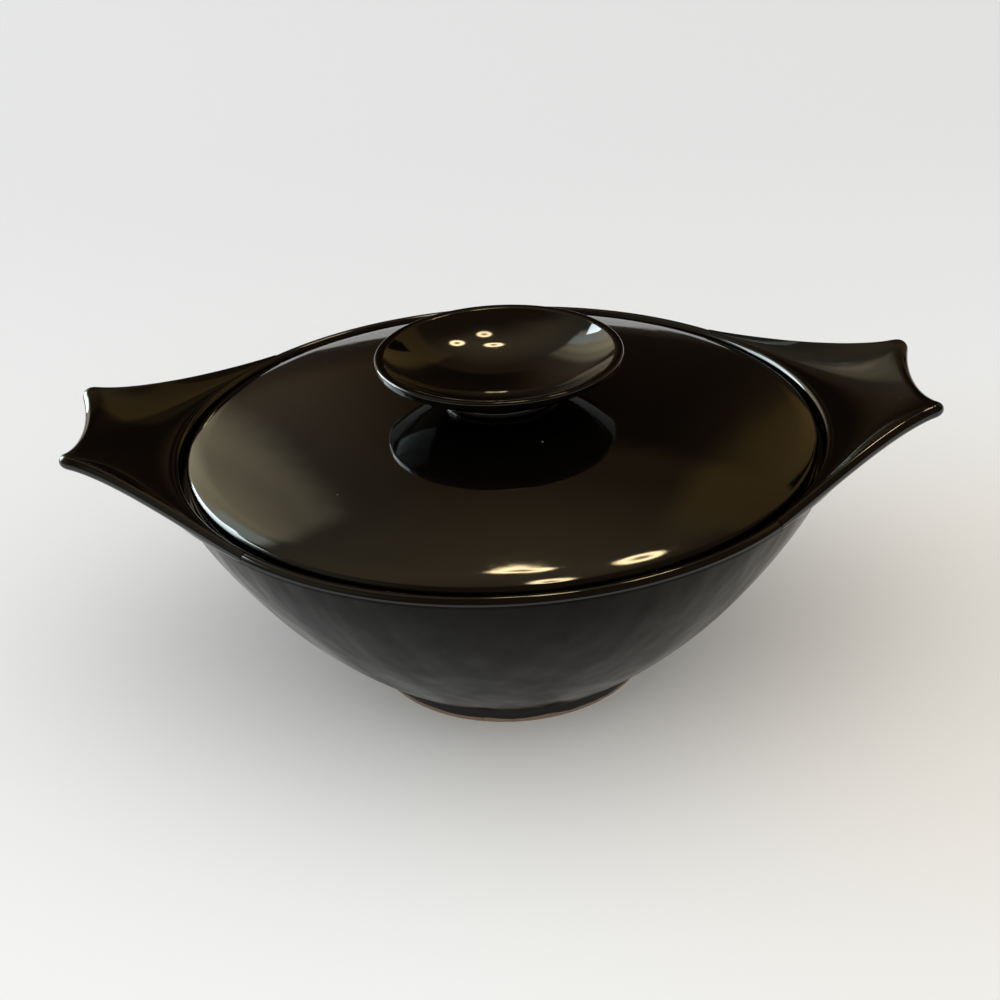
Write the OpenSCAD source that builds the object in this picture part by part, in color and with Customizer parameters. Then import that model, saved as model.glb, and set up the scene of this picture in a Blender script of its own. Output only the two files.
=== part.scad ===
// A low, round covered casserole in glazed stoneware.
// The dish has a ledge inside its rim that carries the lid, a ring to stand on and two
// fishtail handles that grow out of the rim. The lid is a shallow dome with a dished knob.
// Lengths are in millimetres. The table is z = 0, the axis of the bowl is Z and the
// handles lie along X.

/* [Lid] */
// Outside diameter of the lid
lid_d = 200; // [150:1:260]
// Thickness of the dome
lid_wall = 5; // [4:0.5:7]
// Height of the lid's upright edge
lid_edge_h = 4.3; // [3.5:0.1:8]
// Radius of the rounded shoulder above the edge
shoulder_r = 1.8; // [1:0.1:4]
// Width of the band inside the edge where the dome rolls over, faster than it curves elsewhere
roll_w = 10; // [6:0.5:20]
// How much steeper the dome gets over that band
roll_turn = 6.6; // [1:0.1:20]
// Slope of the dome where that band starts
dome_slope = 12.8; // [6:0.1:25]
// Depth of the ring under the lid
flange_h = 5; // [3:0.5:10]
// Thickness of the ring under the lid
flange_wall = 3; // [2:0.5:5]

/* [Knob] */
// Outside diameter of the knob
knob_d = 78.6; // [50:0.1:110]
// Height of the knob's rim above the crown of the lid
knob_h = 14.7; // [12:0.1:30]
// Depth of the hollow in the knob
knob_hollow = 10.5; // [4:0.5:12]
// Thickness of the knob at its middle
knob_wall = 3.8; // [3:0.1:5]
// Thickness of the knob's lip
knob_lip = 2.8; // [2:0.1:4]
// Height of the lip's upright outer side
lip_side_h = 2.4; // [1.5:0.1:3]
// Diameter of the neck where it meets the lid and the knob
neck_d = 36; // [20:1:44]
// Depth of the hollow waist round the neck
neck_waist = 0.8; // [0.2:0.1:3]

/* [Rim and ledge] */
// Gap between the lid's edge and the rim
lid_gap = 2.2; // [1:0.1:5]
// Thickness of the rim
rim_wall = 4; // [3:0.1:6]
// Depth of the ledge below the top of the rim
ledge_depth = 6; // [3:0.1:8]
// Width of the ledge, from the rim inwards
ledge_w = 8.5; // [6:0.1:16]
// Gap between the ledge and the ring under the lid
flange_gap = 1.2; // [0.5:0.1:3]

/* [Bowl and foot] */
// Height of the rim above the table
rim_h = 82; // [60:1:130]
// How far the wall bellies out past a straight line from rim to foot
belly = 6; // [2:0.5:16]
// Thickness of the bowl's wall
bowl_wall = 5; // [4:0.5:7]
// Thickness of the floor
floor_wall = 6; // [4:0.5:9]
// Radius of the round between wall and floor, inside
floor_r = 20; // [8:1:30]
// Outside diameter of the foot ring at the table
foot_d = 90; // [60:1:110]
// Height of the foot ring
foot_h = 7; // [5:0.5:15]
// Thickness of the foot ring at the table
foot_wall = 5; // [4:0.5:10]
// How far the foot ring flares out towards the bowl
foot_flare = 2; // [0.5:0.5:4]
// How far the bowl overhangs the foot ring all round
foot_step = 1.5; // [0.5:0.5:6]

/* [Handles] */
// How far a handle reaches out past the rim
handle_reach = 30.2; // [20:0.1:50]
// Width of a handle across its two tips
handle_w = 55.5; // [40:0.5:70]
// Thickness of a handle at its edge
handle_t = 4.2; // [3.5:0.1:6]
// Height of the tips above the rim
tip_rise = 12.5; // [4:0.1:25]
// How much lower the middle of the end lies than the tips
end_dip = 3.4; // [0:0.1:8]
// How far the end is hollowed in between the tips
end_hollow = 3.8; // [0.5:0.1:8]
// Radius of the crest round a tip, seen from above
tip_round = 1.5; // [0.5:0.1:3]
// Angle from the X axis at which a handle's edge leaves the rim
root_angle = 45; // [40:0.5:56]
// Share of the way to the tip along which the edge keeps to the rim's tangent
leave_share = 0.32; // [0.3:0.005:0.45]
// Share of the way to the tip along which the edge keeps to the tip's direction
arrive_share = 0.18; // [0.1:0.005:0.35]
// Angle at which the tips flare out sideways
tip_flare = 3; // [0:1:20]
// How far down the bowl's wall the root of a handle reaches
root_depth = 8; // [5:0.5:16]
// Width at which a handle reaches the full depth of its root
root_blend = 24; // [12:1:40]
// Gap between a handle's root and the bowl that it is joined to
root_gap = 0.1; // [0.05:0.05:0.3]

/* [Hidden] */
$fn = 144;

GLAZE = "#1b1714";
CLAY = "#8a6f55";

// Small rounds on edges that are out of sight
edge_round = 1;
// Number of straight pieces in a long curve and in a short one
LONG = 18;
SHORT = 8;
// Number of pieces of a handle: along its side, round a tip and also round the rim, along
// half its end, out from the rim and also round the edge, and down the root
SIDE = 12;
TURN = 4;
END = 7;
ACROSS = 6;
ROOT = 3;

// How quickly the sides, the middle and the root of a handle build up
side_power = 1.25;
middle_power = 1.8;
root_power = 0.7;
// Width at which a handle's edge is round all the way underneath
turn_blend = 8;
// Where along its side a handle stands clear of the rim
first_share = 0.14;
// A small step for finding directions along a curve
nudge = 0.001;

// Radii that follow from the lid outwards and inwards
lid_r = lid_d / 2;
rim_in_r = lid_r + lid_gap;
rim_r = rim_in_r + rim_wall;
rim_round = rim_wall / 2;
ledge_in_r = rim_in_r - ledge_w;
flange_r = ledge_in_r - flange_gap;
flange_in_r = flange_r - flange_wall;
foot_r = foot_d / 2;
knob_r = knob_d / 2;
neck_r = neck_d / 2;

// Heights above the table
ledge_z = rim_h - ledge_depth;
edge_top_z = ledge_z + lid_edge_h;
floor_z = foot_h + floor_wall;

// A circle's arc from angle a0 to a1 about centre c, as n straight pieces
function arc(c, r, a0, a1, n) =
    [for (i = [0 : n]) let (a = a0 + (a1 - a0) * i / n) c + r * [cos(a), sin(a)]];

// The angle of the direction from point c to point p
function angle_of(c, p) = atan2(p[1] - c[1], p[0] - c[0]);

// The bowl's outer wall is an arc from the rim's side to the overhang above the foot
wall_top = [rim_r, rim_h - rim_round];
wall_foot = [foot_r + foot_flare + foot_step, foot_h];
wall_chord = norm(wall_top - wall_foot);
wall_r = (pow(wall_chord / 2, 2) + pow(belly, 2)) / (2 * belly);
wall_out = [wall_top[1] - wall_foot[1], wall_foot[0] - wall_top[0]] / wall_chord;
wall_c = (wall_top + wall_foot) / 2 - wall_out * (wall_r - belly);

// The inner wall shares the outer wall's centre, and a round leads it into the floor
inner_r = wall_r - bowl_wall;
inner_top_z = wall_c[1] - sqrt(pow(inner_r, 2) - pow(ledge_in_r - wall_c[0], 2));
floor_round_z = floor_z + floor_r;
floor_round_x = wall_c[0]
    + sqrt(pow(inner_r - floor_r, 2) - pow(floor_round_z - wall_c[1], 2));
floor_c = [floor_round_x, floor_round_z];

function bowl_profile() = concat(
    [[0, foot_h]],
    arc(wall_c, wall_r, angle_of(wall_c, wall_foot), angle_of(wall_c, wall_top), LONG),
    arc([rim_r - rim_round, rim_h - rim_round], rim_round, 0, 180, SHORT),
    arc([rim_in_r - edge_round, ledge_z + edge_round], edge_round, 0, -90, SHORT / 2),
    arc([ledge_in_r + edge_round, ledge_z - edge_round], edge_round, 90, 180, SHORT / 2),
    arc(wall_c, inner_r, angle_of(wall_c, [ledge_in_r, inner_top_z]),
        angle_of(wall_c, floor_c), LONG),
    arc(floor_c, floor_r, angle_of(wall_c, floor_c), -90, SHORT),
    [[0, floor_z]]
);

// The round bowl: floor, wall, rim and the ledge that carries the lid
module bowl() {
    color(GLAZE)
    rotate_extrude()
    polygon(bowl_profile());
}

// The ring that the dish stands on, with bevelled edges and a flare under the bowl
module foot_ring() {
    foot_in_r = foot_r - foot_wall;
    color(CLAY)
    rotate_extrude()
    polygon([
        [foot_in_r + edge_round, 0],
        [foot_r - edge_round, 0],
        [foot_r, edge_round],
        [foot_r, foot_h - foot_flare],
        [foot_r + foot_flare, foot_h],
        [foot_in_r - foot_flare, foot_h],
        [foot_in_r, foot_h - foot_flare],
        [foot_in_r, edge_round]
    ]);
}

// A handle's top is bounded by a crest: the highest line of its rounded edge. The crest
// leaves the top of the rim along the rim's tangent and runs out to the tip as a Bezier curve.
rim_crest_r = rim_r - rim_round;
root_r = rim_round + root_gap;
half_t = handle_t / 2;
tip = [rim_r + handle_reach - half_t, handle_w / 2 - half_t];
crest_root = rim_crest_r * [cos(root_angle), sin(root_angle)];
crest_span = norm(tip - crest_root);
crest_leave = crest_root
    + leave_share * crest_span * [sin(root_angle), -cos(root_angle)];
crest_arrive = tip - arrive_share * crest_span * [cos(tip_flare), sin(tip_flare)];

function side_crest(s) =
    pow(1 - s, 3) * crest_root + 3 * pow(1 - s, 2) * s * crest_leave
    + 3 * (1 - s) * s * s * crest_arrive + pow(s, 3) * tip;

function side_rise(s) =
    tip_rise * pow((side_crest(s)[0] - crest_root[0]) / (tip[0] - crest_root[0]), side_power);

// The middle of the handle rises from the rim to the hollow of the end
function middle_x(s) = rim_crest_r + (tip[0] - end_hollow - rim_crest_r) * s;
function middle_rise(s) = (tip_rise - end_dip) * pow(s, middle_power);

// The top of the handle at share s of the way out and share u of the way across,
// as [x, y, height above the rim]. At s = 0 it runs along the top of the rim.
function top_at(s, u) =
    let (w = (1 - cos(root_angle * u)) / (1 - cos(root_angle)), c = side_crest(s))
    [middle_x(s) + (c[0] - middle_x(s)) * w,
     c[1] * sin(root_angle * u) / sin(root_angle),
     middle_rise(s) + (side_rise(s) - middle_rise(s)) * w];

// Direction out of the side and out of the end, square to the crest, seen from above
function side_out(s) =
    let (d = side_crest(s) - side_crest(s - nudge))
    atan2(d[0], -d[1]);
function end_out(u) =
    let (d = top_at(1, u + nudge) - top_at(1, u - nudge))
    atan2(-d[0], d[1]);

// The crest rounds the tip, so the side stops short of it and the end starts late
tip_s = tip_round / (3 * arrive_share * crest_span);
tip_u = tip_round * tan(root_angle) / (tip[1] * root_angle * PI / 180);
side_end = 1 - tip_s;
end_start = 1 - tip_u;

// Stations round half of the edge, each [s, u, direction out], from the rim to the end's middle
side_stations = [for (i = [0 : SIDE]) let (s = first_share + (side_end - first_share) * i / SIDE)
    [s, 1, side_out(s)]];
tip_stations = [for (i = [1 : TURN]) let (a = 90 * i / TURN)
    [1 - tip_s * (1 - sin(a)), 1 - tip_u * (1 - cos(a)),
     side_out(side_end) + (end_out(end_start) - side_out(side_end)) * i / TURN]];
end_stations = [for (i = [1 : END]) let (u = end_start * (1 - i / END)) [1, u, end_out(u)]];
half_edge = concat(side_stations, tip_stations, end_stations);
half_count = len(half_edge);
stations = concat(half_edge, [for (i = [2 : half_count]) let (p = half_edge[half_count - i])
    [p[0], -p[1], -p[2]]]);

// The root follows the bowl: down its wall by depth, up to the side of the rim and over it
function root_profile(depth) = concat(
    arc(wall_c, wall_r + root_gap, asin((wall_top[1] - depth - wall_c[1]) / wall_r),
        angle_of(wall_c, wall_top), ROOT),
    arc([rim_crest_r, rim_h - rim_round], root_r, 90 / TURN, 90, TURN - 1)
);

// One closed section: up the root, out along the top, round the edge, back underneath.
// It runs in to the rim at the bearing of its point on the crest.
function section(station) =
    let (
        s = station[0],
        u = station[1],
        out = [cos(station[2]), sin(station[2]), 0],
        base = [0, 0, rim_h + root_gap],
        crest = top_at(s, u) + base,
        bearing = atan2(crest[1], crest[0]),
        way = [cos(bearing), sin(bearing), 0],
        width = max(0, norm([crest[0], crest[1]]) - rim_crest_r),
        share = min(1, width / root_blend),
        r = root_r + (half_t - root_r) * share,
        turn = 90 + 90 * min(1, width / turn_blend),
        root = root_profile(root_depth * pow(share, root_power)),
        root_top = rim_crest_r * way + base,
        low = root[0][0] * way + [0, 0, root[0][1]],
        v = bearing / root_angle,
        top = [for (i = [1 : ACROSS]) let (t = i / ACROSS)
            top_at(s * t, v + (u - v) * t) + base],
        edge = [for (i = [1 : ACROSS]) let (a = 90 - turn * i / ACROSS)
            crest + r * (cos(a) * out + [0, 0, sin(a) - 1])],
        under = [for (i = [1 : ACROSS - 1]) let (t = 1 - i / ACROSS)
            top[ACROSS - 1 - i] + (edge[ACROSS - 1] - crest) * t + (low - root_top) * (1 - t)]
    )
    concat([for (c = root) c[0] * way + [0, 0, c[1]]], top, edge, under);

// A closed skin over a row of sections that all have the same number of points
module skin(sections) {
    n = len(sections[0]);
    last = len(sections) - 1;
    sides = [for (k = [0 : last - 1], i = [0 : n - 1]) let (j = (i + 1) % n)
        each [[k * n + i, k * n + j, (k + 1) * n + j],
              [k * n + i, (k + 1) * n + j, (k + 1) * n + i]]];
    first_cap = [for (i = [0 : n - 1]) n - 1 - i];
    last_cap = [for (i = [0 : n - 1]) last * n + i];
    polyhedron([for (s = sections) each s], concat([first_cap], sides, [last_cap]));
}

// A flat fishtail handle on the right: it sweeps up and out from the rim to two tips
module handle_form() {
    color(GLAZE)
    skin([for (p = stations) section(p)]);
}

module handle_left() {
    mirror([1, 0, 0]) handle_form();
}

module handle_right() {
    handle_form();
}

// The dome is part of a ball. Near the edge it rolls over in a tighter arc, and that arc
// runs smoothly into the shoulder's round.
shoulder_c = [lid_r - shoulder_r, edge_top_z];
roll_slope = dome_slope + roll_turn;
roll_end = shoulder_c + shoulder_r * [sin(roll_slope), cos(roll_slope)];
roll_start_r = lid_r - roll_w;
roll_start_z = roll_end[1] + (roll_end[0] - roll_start_r) * tan(dome_slope + roll_turn / 2);
roll_start = [roll_start_r, roll_start_z];
roll_r = norm(roll_end - roll_start) / (2 * sin(roll_turn / 2));
roll_c = roll_start - roll_r * [sin(dome_slope), cos(dome_slope)];
dome_r = roll_start_r / sin(dome_slope);
crown_z = roll_start_z + roll_start_r * tan(dome_slope / 2);
dome_c = [0, crown_z - dome_r];
under_r = dome_r - lid_wall;
// The crown is cut flat under the neck
pad_z = dome_c[1] + sqrt(pow(dome_r, 2) - pow(neck_r, 2));

// The domed lid, from its seat on the ledge to the flat under the knob's neck
module lid_dome() {
    color(GLAZE)
    rotate_extrude()
    polygon(concat(
        [[0, pad_z], [0, dome_c[1] + under_r]],
        arc(dome_c, under_r, 90, acos(flange_in_r / under_r), LONG),
        [[flange_in_r, ledge_z], [lid_r - edge_round, ledge_z]],
        arc([lid_r - edge_round, ledge_z + edge_round], edge_round, -90, 0, SHORT / 2),
        arc(shoulder_c, shoulder_r, 0, 90 - roll_slope, SHORT),
        arc(roll_c, roll_r, 90 - roll_slope, 90 - dome_slope, SHORT),
        arc(dome_c, dome_r, 90 - dome_slope, acos(neck_r / dome_r), LONG)
    ));
}

// The ring under the lid that keeps it inside the ledge
module lid_flange() {
    color(GLAZE)
    rotate_extrude()
    polygon([
        [flange_in_r, ledge_z],
        [flange_in_r, ledge_z - flange_h],
        [flange_r - edge_round, ledge_z - flange_h],
        [flange_r, ledge_z - flange_h + edge_round],
        [flange_r, ledge_z]
    ]);
}

// The knob's underside is part of a ball from its middle to the foot of the lip
knob_z = crown_z + knob_h;
under_z = knob_z - knob_hollow - knob_wall;
lip_low_z = knob_z - lip_side_h;
under_rise = lip_low_z - under_z;
knob_under_r = (pow(knob_r, 2) + pow(under_rise, 2)) / (2 * under_rise);
// The underside is cut flat over the neck
neck_top_z = under_z + knob_under_r - sqrt(pow(knob_under_r, 2) - pow(neck_r, 2));
neck_h = neck_top_z - pad_z;

// The short waisted neck between lid and knob
module knob_neck() {
    waist_r = (pow(neck_h / 2, 2) + pow(neck_waist, 2)) / (2 * neck_waist);
    half_turn = asin(neck_h / 2 / waist_r);
    waist_c = [neck_r - neck_waist + waist_r, (pad_z + neck_top_z) / 2];
    color(GLAZE)
    rotate_extrude()
    polygon(concat(
        [[0, neck_top_z], [0, pad_z]],
        arc(waist_c, waist_r, 180 + half_turn, 180 - half_turn, SHORT)
    ));
}

// The wide dished knob
module knob_dish() {
    // The hollow is part of a ball that runs smoothly into the round of the lip
    lip_round = knob_lip / 2;
    lip_c = [knob_r - lip_round, knob_z - lip_round];
    hollow_r = (pow(lip_c[0], 2) + pow(knob_hollow, 2)) / (2 * knob_hollow) - lip_round;
    hollow_c = [0, knob_z - knob_hollow + hollow_r];
    hollow_turn = angle_of(hollow_c, lip_c);
    under_c = [0, under_z + knob_under_r];
    color(GLAZE)
    rotate_extrude()
    polygon(concat(
        [[0, neck_top_z]],
        arc(under_c, knob_under_r, angle_of(under_c, [neck_r, neck_top_z]),
            angle_of(under_c, [knob_r, lip_low_z]), LONG),
        arc(lip_c, lip_round, 0, hollow_turn + 180, SHORT),
        arc(hollow_c, hollow_r, hollow_turn, -90, LONG)
    ));
}

bowl();
foot_ring();
handle_left();
handle_right();
lid_dome();
lid_flange();
knob_neck();
knob_dish();
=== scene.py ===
"""Dresses a covered stoneware casserole: its glaze, its bare clay foot and a plain studio round it.

The sizes that the frame already holds are read from it. The others, the colours and the camera are
properties that can be changed in the sidebar before a piece is built again. The light, and the room
that the glaze mirrors, are named values further down.
"""

import math

import bpy
from bpy.props import FloatProperty, FloatVectorProperty, IntProperty, PointerProperty, StringProperty
from mathutils import Matrix, Vector, noise


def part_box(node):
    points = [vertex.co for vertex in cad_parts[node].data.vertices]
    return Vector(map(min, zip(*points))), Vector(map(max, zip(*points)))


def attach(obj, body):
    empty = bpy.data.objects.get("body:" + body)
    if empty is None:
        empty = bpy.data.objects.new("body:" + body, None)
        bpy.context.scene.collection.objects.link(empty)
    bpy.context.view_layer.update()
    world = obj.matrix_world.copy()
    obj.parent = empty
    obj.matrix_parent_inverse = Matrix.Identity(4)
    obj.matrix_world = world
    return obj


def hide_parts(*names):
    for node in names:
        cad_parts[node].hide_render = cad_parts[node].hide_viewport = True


bl_info = {
    "name": "Covered casserole",
    "version": (1, 0, 0),
    "blender": (4, 5, 0),
    "location": "3D View > Sidebar > Casserole",
    "description": "Builds a glazed stoneware casserole with a lift-off lid",
    "category": "Object",
}

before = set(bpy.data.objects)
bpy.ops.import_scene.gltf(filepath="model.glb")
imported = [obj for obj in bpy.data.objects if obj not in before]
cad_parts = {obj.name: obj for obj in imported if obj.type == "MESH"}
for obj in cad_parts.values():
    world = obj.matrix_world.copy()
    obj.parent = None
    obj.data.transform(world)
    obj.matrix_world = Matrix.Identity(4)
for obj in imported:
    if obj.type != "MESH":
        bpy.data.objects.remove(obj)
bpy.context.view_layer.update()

MM = 0.001

# The frame's own sizes, in metres
RIM_R = min(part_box("bowl")[1].x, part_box("bowl")[1].y)
RIM_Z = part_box("bowl")[1].z
BOWL_LOW_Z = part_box("bowl")[0].z
FOOT_FLARE_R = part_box("foot_ring")[1].x
LID_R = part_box("lid_dome")[1].x
SEAT_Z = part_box("lid_dome")[0].z
PAD_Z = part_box("lid_dome")[1].z
FLANGE_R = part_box("lid_flange")[1].x
FLANGE_LOW_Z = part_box("lid_flange")[0].z
NECK_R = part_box("knob_neck")[1].x
NECK_TOP_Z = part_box("knob_neck")[1].z
KNOB_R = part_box("knob_dish")[1].x
KNOB_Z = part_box("knob_dish")[1].z


def length(name, description, default_mm):
    """A size that is shown in the scene's length unit. The default is given in millimetres."""
    return FloatProperty(name=name, description=description, default=default_mm * MM, unit="LENGTH")


def share(name, description, default):
    """A number between nothing and the whole."""
    return FloatProperty(name=name, description=description, default=default, min=0, max=1, subtype="FACTOR")


def angle(name, description, degrees):
    """An angle, given in degrees and kept in radians."""
    return FloatProperty(name=name, description=description, default=math.radians(degrees), subtype="ANGLE")


def hex_colour(name, description, default):
    """A colour as an sRGB hex value, such as 1a1613."""
    return StringProperty(name=name, description=description, default=default, maxlen=6)


class BowlSizes(bpy.types.PropertyGroup):
    """Sizes of the bowl and its foot that the frame's boxes do not show."""

    rim_wall: length("Rim", "Thickness of the rim", 4)
    ledge_w: length("Ledge width", "Width of the ledge, from the rim inwards", 8.5)
    belly: length("Belly", "How far the wall bellies out past a straight line", 6)
    wall: length("Wall", "Thickness of the wall", 5)
    floor: length("Floor", "Thickness of the floor", 6)
    floor_round: length("Floor round", "Radius between wall and floor, inside", 20)
    foot_step: length("Foot step", "How far the bowl overhangs the foot ring", 1.5)
    foot_flare: length("Foot flare", "How far the foot ring flares out towards the bowl", 2)
    foot_wall: length("Foot wall", "Thickness of the foot ring at the table", 5)
    edge_round: length("Small rounds", "Radius of the small rounds on ledge and foot", 1)
    glaze_line: length("Glaze line", "Height of the glaze's lower edge on the foot ring", 1.6)
    unevenness: length("Unevenness", "Depth of the wall's gentle waves", 0.6)


class HandleSizes(bpy.types.PropertyGroup):
    """Sizes of the two fishtail handles."""

    reach: length("Reach", "How far a handle reaches out past the rim", 30.15)
    width: length("Width", "Width across the two tips", 55.5)
    thickness: length("Thickness", "Thickness at the edge", 4.2)
    tip_rise: length("Tip rise", "Height of the tips above the rim", 12.5)
    end_dip: length("End dip", "How much lower the end's middle lies than the tips", 3.4)
    end_hollow: length("End hollow", "How far the end is hollowed in between the tips", 3.8)
    tip_round: length("Tip round", "Radius of the crest round a tip", 2.8)
    root_angle: angle("Root angle", "Angle at which an edge leaves the rim", 45)
    leave_share: share("Leave", "Share of the way along which the edge keeps to the rim", 0.32)
    arrive_share: share("Arrive", "Share of the way along which the edge keeps to the tip", 0.18)
    tip_flare: angle("Tip flare", "Angle at which the tips flare out sideways", 1.5)
    root_depth: length("Root depth", "How far down the wall the root reaches", 11)
    root_blend: length("Root blend", "Width at which the root has its full depth", 24)


class LidSizes(bpy.types.PropertyGroup):
    """Sizes of the lid and its knob."""

    wall: length("Wall", "Thickness of the dome", 5)
    edge_h: length("Edge", "Height of the lid's upright edge", 4.3)
    shoulder: length("Shoulder", "Radius of the shoulder above the edge", 1.8)
    roll_w: length("Roll", "Width of the band inside the edge where the dome rolls over", 7)
    roll_turn: angle("Roll turn", "How much steeper the dome gets over that band", 7)
    dome_slope: angle("Dome slope", "Slope of the dome where that band starts", 13.346)
    flange_wall: length("Flange", "Thickness of the ring under the lid", 3)
    knob_inset: length("Knob inset", "How much smaller the knob is than its widest place allows", 0.2)
    knob_offset: length("Knob offset", "How far the knob sits off the middle, set on by hand", 0.5)
    knob_body: length("Knob body", "Depth of the knob from its lip to its underside", 14.3)
    hollow_ball: length("Hollow ball", "Radius of the ball that the hollow's floor is part of", 70.5)
    hollow_floor_r: length("Hollow floor", "Radius at which the hollow's floor turns up into its side", 22)
    hollow_side: length("Hollow side", "Radius of the hollow's side, seen in section", 44.5)
    side_turn: angle("Side turn", "How much steeper the hollow gets up its side", 19.8)
    lip_outside: length("Lip, outside", "Radius of the lip on the outside of its crest", 0.7)
    lip_inside: length("Lip, inside", "Radius between the lip's flat top and the hollow", 1)
    lip_top: length("Lip top", "Radius of the lip's nearly flat top, seen in section", 7)
    lip_fall: angle("Lip fall", "Slope of the lip's top at its inner side", 16)
    lip_side_h: length("Lip side", "Height of the lip's outer side", 2.4)
    lip_lean: angle("Lip lean", "How far the lip's outer side leans in towards its lower edge", 11)
    neck_waist: length("Neck waist", "Depth of the hollow round the neck", 0.8)
    edge_round: length("Small rounds", "Radius of the small rounds on edge and ring", 1)


class Finish(bpy.types.PropertyGroup):
    """Colours of the glaze, the clay and the floor."""

    glaze_dark: hex_colour("Glaze", "Colour of the glaze where it lies thick", "070605")
    glaze_warm: hex_colour("Glaze, thin", "Colour of the glaze where it lies thin", "150f09")
    # Painted reflection: the two sheen tints paint the wall's shine cool on its left side and warm on its
    # right.
    sheen_left_painted_cool: hex_colour("Sheen, left", "Tint of the wall's sheen on the left, a painted cool reflection", "e4f2f4")
    sheen_right_painted_warm: hex_colour("Sheen, right", "Tint of the wall's sheen on the right, a painted warm reflection", "c9a06a")
    speck: hex_colour("Speck", "Colour of the few pale specks in the glaze", "8f8878")
    clay: hex_colour("Clay", "Colour of the bare fired clay", "75614f")
    clay_dark: hex_colour("Clay grains", "Colour of the dark grains in the clay", "4a382a")
    # Painted light: the floor is painted lighter in front of the dish and dimmer behind it.
    floor_near_painted_lit: hex_colour("Floor, near", "Colour of the floor in front of the dish", "f6f6f4")
    floor_far_painted_dim: hex_colour("Floor, far", "Colour of the floor behind the dish", "e3e3e3")
    # Painted shade: a warm, darker patch painted on the floor beside the dish on the right.
    floor_painted_warm_shade: hex_colour("Floor, warm", "Colour of the floor on the warm side of the dish", "e6d9c2")


class Studio(bpy.types.PropertyGroup):
    """The camera, and how finely the turned pieces are divided."""

    lens: FloatProperty(name="Lens", description="Focal length on a 36 mm sensor", default=67.659,
                        unit="CAMERA")
    distance: length("Distance", "From the point looked at to the camera", 605.07)
    azimuth: angle("Azimuth", "Direction of the camera, to the left of the front", -0.984)
    elevation: angle("Elevation", "Height of the camera as an angle", 27.752)
    roll: angle("Roll", "Tilt of the picture", -3.004)
    aim: FloatVectorProperty(name="Aim", description="Point at the middle of the picture", unit="LENGTH",
                             default=(-1.62 * MM, -6.25 * MM, 60 * MM))
    turns: IntProperty(name="Turns", description="Number of pieces round a full turn", default=240)


def linear(hex_value):
    """An sRGB hex value as linear red, green, blue and alpha, by the formula of that standard."""
    channels = [int(hex_value[i:i + 2], 16) / 255 for i in (0, 2, 4)]
    return [c / 12.92 if c <= 0.04045 else ((c + 0.055) / 1.055) ** 2.4 for c in channels] + [1]


def arc(centre, radius, start, end, pieces):
    """Points (r, z) along a circle's arc between two angles in degrees."""
    points = []
    for i in range(pieces + 1):
        turn = math.radians(start + (end - start) * i / pieces)
        points.append((centre[0] + radius * math.cos(turn), centre[1] + radius * math.sin(turn)))
    return points


def angle_of(centre, point):
    """Direction from a centre to a point, in degrees."""
    return math.degrees(math.atan2(point[1] - centre[1], point[0] - centre[0]))


def follow(point, radius, start, end, pieces):
    """Points of an arc that sets out from a point. The angles are directions from its centre, in degrees."""
    turn = math.radians(start)
    centre = (point[0] - radius * math.cos(turn), point[1] - radius * math.sin(turn))
    return arc(centre, radius, start, end, pieces)


def straight(start, end, pieces):
    """Points on a straight line, without its two ends."""
    return [tuple(a + (b - a) * i / pieces for a, b in zip(start, end)) for i in range(1, pieces)]


def make_object(name, points, faces, body, material, sharp_degrees=50):
    """A smooth-shaded mesh object that rides on a body. Edges sharper than the angle stay crisp."""
    mesh = bpy.data.meshes.new(name)
    mesh.from_pydata(points, [], faces)
    mesh.validate()
    mesh.shade_smooth()
    mesh.set_sharp_from_angle(angle=math.radians(sharp_degrees))
    mesh.materials.append(material)
    piece = bpy.data.objects.new(name, mesh)
    bpy.context.scene.collection.objects.link(piece)
    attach(piece, body)
    return piece


def turned(profile, turns):
    """Points and faces of a solid turned round Z. The profile runs from the axis back to the axis,
    or it is a closed ring that keeps clear of the axis."""
    nearly_nothing = 1e-9
    on_axis = profile[0][0] < nearly_nothing
    ring = profile[1:-1] if on_axis else profile
    count = len(ring)
    points = []
    for k in range(turns):
        turn = 2 * math.pi * k / turns
        points += [(r * math.cos(turn), r * math.sin(turn), z) for r, z in ring]
    faces = []
    for k in range(turns):
        this, after = k * count, (k + 1) % turns * count
        for i in range(count - 1 if on_axis else count):
            j = (i + 1) % count
            faces.append((this + i, after + i, after + j, this + j))
    if on_axis:
        start, end = len(points), len(points) + 1
        points += [(0, 0, profile[0][1]), (0, 0, profile[-1][1])]
        for k in range(turns):
            this, after = k * count, (k + 1) % turns * count
            faces.append((start, after, this))
            faces.append((end, this + count - 1, after + count - 1))
    return points, faces


def waves(points, depth, wavelength, lowest, highest, squeeze=0.4):
    """Presses gentle waves into a turned surface, square to the axis, between two heights.

    They are longer up the wall than round it. The squeeze says how much of a height counts.
    """
    moved = []
    for x, y, z in points:
        r = math.hypot(x, y)
        height = (z - lowest) / (highest - lowest)
        if r > 0 and 0 < height < 1:
            amount = (noise.noise(Vector((x, y, z * squeeze)) / wavelength) - 1) / 2
            scale = 1 + depth * amount * math.sin(math.pi * height) / r
            x, y = x * scale, y * scale
        moved.append((x, y, z))
    return moved


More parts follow.
